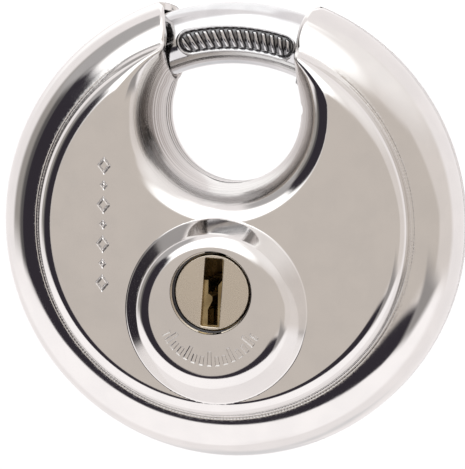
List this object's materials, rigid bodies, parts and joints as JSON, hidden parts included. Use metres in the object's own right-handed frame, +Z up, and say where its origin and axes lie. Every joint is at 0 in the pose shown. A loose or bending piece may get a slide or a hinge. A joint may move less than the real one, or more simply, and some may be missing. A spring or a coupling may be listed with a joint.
{
  "type": "disc padlock",
  "caption": "Round polished padlock with a shrouded C-shaped shackle turning in its rim and a keyhole in a raised boss.",
  "frame": {"origin": "hanging point: the middle of the shackle's underside, on the mid plane between the two shells", "axes": "+Z up towards the shackle, -Y out of the keyhole, +X to the right seen from the front; the disc's axis is Y"},
  "size_m": [0.07, 0.0262, 0.0683],
  "materials": {
    "polished_stainless": "mirror-polished stainless steel",
    "hardened_steel": "polished hardened steel, chrome plated",
    "plain_steel": "plain cold-rolled steel",
    "dark_steel": "hardened steel, oil blacked",
    "spring_steel": "bright spring steel",
    "brass": "machined brass",
    "satin_nickel": "satin nickel-plated steel",
    "black_polymer": "moulded black polymer"
  },
  "bodies": {
    "case": {"front_shell": "polished_stainless", "rear_shell": "polished_stainless", "right_shackle_bush": "plain_steel", "left_shackle_bush": "black_polymer", "cylinder_body": "brass", "chamber_cover": "brass", "drill_shield": "dark_steel", "chassis_plate": "plain_steel", "pivot_post": "dark_steel", "pivot_washer": "spring_steel", "stop_pin_closed": "dark_steel", "stop_pin_open": "dark_steel", "left_spacer": "plain_steel", "right_spacer": "plain_steel", "left_cylinder_screw": "dark_steel", "right_cylinder_screw": "dark_steel", "pin_spring_1": "spring_steel", "pin_spring_2": "spring_steel", "pin_spring_3": "spring_steel", "pin_spring_4": "spring_steel", "pin_spring_5": "spring_steel"},
    "shackle_assembly": {"shackle": "hardened_steel", "carrier_plate": "plain_steel", "carrier_screw_1": "dark_steel", "carrier_screw_2": "dark_steel"},
    "plug_assembly": {"plug": "brass", "plug_cap": "satin_nickel", "plug_clip": "spring_steel", "drive_pinion": "dark_steel", "pinion_screw": "dark_steel"},
    "key_pin_1": {"key_pin_1": "brass"},
    "driver_pin_1": {"driver_pin_1": "spring_steel"},
    "key_pin_2": {"key_pin_2": "brass"},
    "driver_pin_2": {"driver_pin_2": "spring_steel"},
    "key_pin_3": {"key_pin_3": "brass"},
    "driver_pin_3": {"driver_pin_3": "spring_steel"},
    "key_pin_4": {"key_pin_4": "brass"},
    "driver_pin_4": {"driver_pin_4": "spring_steel"},
    "key_pin_5": {"key_pin_5": "brass"},
    "driver_pin_5": {"driver_pin_5": "spring_steel"}
  },
  "joints": [
    {"name": "shackle_turn", "type": "hinge", "parent": "case", "child": "shackle_assembly", "pos_m": [0, 0, -0.0239], "axis": [0, 1, 0], "range_deg": [0, 58]},
    {"name": "plug_turn", "type": "hinge", "parent": "case", "child": "plug_assembly", "pos_m": [0, 0, -0.0329], "axis": [0, 1, 0], "range_deg": [-116, 0]},
    {"name": "key_pin_1_slide", "type": "slide", "parent": "plug_assembly", "child": "key_pin_1", "axis": [0, 0, -1], "range_m": [-0.0015, 0]},
    {"name": "driver_pin_1_slide", "type": "slide", "parent": "case", "child": "driver_pin_1", "axis": [0, 0, -1], "range_m": [-0.0015, 0], "deforming": ["pin_spring_1"]},
    {"name": "key_pin_2_slide", "type": "slide", "parent": "plug_assembly", "child": "key_pin_2", "axis": [0, 0, -1], "range_m": [-0.0015, 0]},
    {"name": "driver_pin_2_slide", "type": "slide", "parent": "case", "child": "driver_pin_2", "axis": [0, 0, -1], "range_m": [-0.0015, 0], "deforming": ["pin_spring_2"]},
    {"name": "key_pin_3_slide", "type": "slide", "parent": "plug_assembly", "child": "key_pin_3", "axis": [0, 0, -1], "range_m": [-0.0015, 0]},
    {"name": "driver_pin_3_slide", "type": "slide", "parent": "case", "child": "driver_pin_3", "axis": [0, 0, -1], "range_m": [-0.0015, 0], "deforming": ["pin_spring_3"]},
    {"name": "key_pin_4_slide", "type": "slide", "parent": "plug_assembly", "child": "key_pin_4", "axis": [0, 0, -1], "range_m": [-0.0015, 0]},
    {"name": "driver_pin_4_slide", "type": "slide", "parent": "case", "child": "driver_pin_4", "axis": [0, 0, -1], "range_m": [-0.0015, 0], "deforming": ["pin_spring_4"]},
    {"name": "key_pin_5_slide", "type": "slide", "parent": "plug_assembly", "child": "key_pin_5", "axis": [0, 0, -1], "range_m": [-0.0015, 0]},
    {"name": "driver_pin_5_slide", "type": "slide", "parent": "case", "child": "driver_pin_5", "axis": [0, 0, -1], "range_m": [-0.0015, 0], "deforming": ["pin_spring_5"]}
  ],
  "couplings": [
    {"joint": "plug_turn", "follows": "shackle_turn", "ratio": -2},
    {"joint": "driver_pin_1_slide", "follows": "key_pin_1_slide", "ratio": 1},
    {"joint": "driver_pin_2_slide", "follows": "key_pin_2_slide", "ratio": 1},
    {"joint": "driver_pin_3_slide", "follows": "key_pin_3_slide", "ratio": 1},
    {"joint": "driver_pin_4_slide", "follows": "key_pin_4_slide", "ratio": 1},
    {"joint": "driver_pin_5_slide", "follows": "key_pin_5_slide", "ratio": 1}
  ]
}
